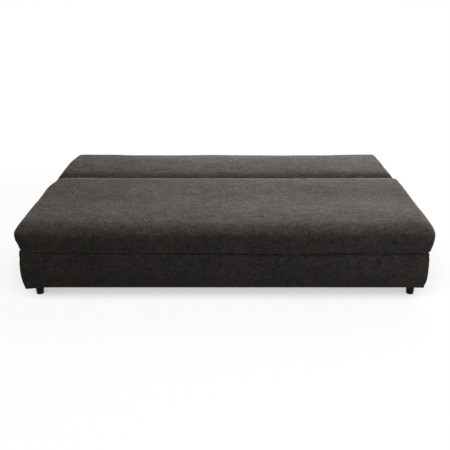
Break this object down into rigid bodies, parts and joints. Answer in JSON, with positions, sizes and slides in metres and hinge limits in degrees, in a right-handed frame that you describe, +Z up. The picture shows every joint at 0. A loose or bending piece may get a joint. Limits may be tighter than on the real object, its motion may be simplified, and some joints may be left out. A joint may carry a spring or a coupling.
{
  "type": "sofa bed",
  "caption": "Upholstered sofa bed laid flat: padded seat panel over a bedding box on short legs, and a back panel behind it on a fold-down tube hoop.",
  "frame": {"origin": "on the floor under the middle of the bed's outline", "axes": "+X to the right seen from the front, along the bed's length of two metres; +Y to the rear, from the seat to the back panel; +Z up"},
  "size_m": [1.9994, 1.446, 0.387],
  "materials": {
    "cover_cloth": "matte",
    "lining_cloth": "matte",
    "foam": "matte",
    "beech": "satin",
    "board": "matte",
    "hardboard": "matte",
    "black_plastic": "satin",
    "black_steel": "satin",
    "zinc_steel": "satin"
  },
  "bodies": {
    "base": {"base_front_board": "board", "base_rear_board": "board", "base_side_board_left": "board", "base_side_board_right": "board", "corner_plates": "board", "cross_rails": "beech", "storage_floor": "hardboard", "base_cover_front": "cover_cloth", "base_cover_left": "cover_cloth", "base_cover_right": "cover_cloth", "base_rear_cloth": "lining_cloth", "leg_front_left": "black_plastic", "leg_front_right": "black_plastic", "leg_rear_left": "black_plastic", "leg_rear_right": "black_plastic", "legs_centre": "black_plastic", "leg_bolts": "zinc_steel", "hinge_brackets": "black_steel", "hinge_pins": "zinc_steel", "base_screws": "zinc_steel", "back_guide_left": "zinc_steel", "back_guide_right": "zinc_steel", "lid_guide_left": "zinc_steel", "lid_guide_right": "zinc_steel"},
    "seat": {"seat_rail_front": "beech", "seat_rail_rear": "beech", "seat_rail_left": "beech", "seat_rail_right": "beech", "seat_slats": "beech", "seat_slat_holders": "black_plastic", "seat_core": "foam", "seat_cover": "cover_cloth", "seat_hinge_leaves": "black_steel", "seat_screws": "zinc_steel", "lid_stay_pivots": "zinc_steel"},
    "back": {"back_rail_front": "beech", "back_rail_rear": "beech", "back_rail_left": "beech", "back_rail_right": "beech", "back_slats": "beech", "back_slat_holders": "black_plastic", "back_core": "foam", "back_cover": "cover_cloth", "back_hinge_leaves": "black_steel", "back_cloth": "lining_cloth", "back_stay_brackets": "black_steel", "hoop_brackets": "black_steel", "back_screws": "zinc_steel"},
    "hoop": {"support_hoop": "black_steel", "hoop_feet": "black_plastic"},
    "back_stay_l": {"back_stay_left": "zinc_steel"},
    "back_stay_r": {"back_stay_right": "zinc_steel"},
    "lid_stay_l": {"lid_stay_left": "zinc_steel"},
    "lid_stay_r": {"lid_stay_right": "zinc_steel"}
  },
  "joints": [
    {"name": "seat_lift", "type": "hinge", "parent": "base", "child": "seat", "pos_m": [0, 0.1435, 0.355], "axis": [-1, 0, 0], "range_deg": [0, 35]},
    {"name": "back_fold", "type": "hinge", "parent": "base", "child": "back", "pos_m": [0, 0.1435, 0.355], "axis": [1, 0, 0], "range_deg": [0, 88]},
    {"name": "hoop_fold", "type": "hinge", "parent": "back", "child": "hoop", "pos_m": [0, 0.5735, 0.227], "axis": [-1, 0, 0], "range_deg": [0, 97]},
    {"name": "back_stay_turn_left", "type": "hinge", "parent": "back", "child": "back_stay_l", "pos_m": [-0.6, 0.1525, 0.2293], "axis": [1, 0, 0], "range_deg": [-112, 0]},
    {"name": "back_stay_turn_right", "type": "hinge", "parent": "back", "child": "back_stay_r", "pos_m": [0.6, 0.1525, 0.2293], "axis": [1, 0, 0], "range_deg": [-112, 0]},
    {"name": "lid_stay_turn_left", "type": "hinge", "parent": "seat", "child": "lid_stay_l", "pos_m": [-0.93, -0.2765, 0.2618], "axis": [-1, 0, 0], "range_deg": [0, 48]},
    {"name": "lid_stay_turn_right", "type": "hinge", "parent": "seat", "child": "lid_stay_r", "pos_m": [0.93, -0.2765, 0.2618], "axis": [-1, 0, 0], "range_deg": [0, 48]}
  ],
  "couplings": [
    {"joint": "back_stay_turn_left", "follows": "back_fold", "ratio": -1.2727},
    {"joint": "back_stay_turn_right", "follows": "back_fold", "ratio": -1.2727},
    {"joint": "lid_stay_turn_left", "follows": "seat_lift", "ratio": 1.3714},
    {"joint": "lid_stay_turn_right", "follows": "seat_lift", "ratio": 1.3714}
  ]
}
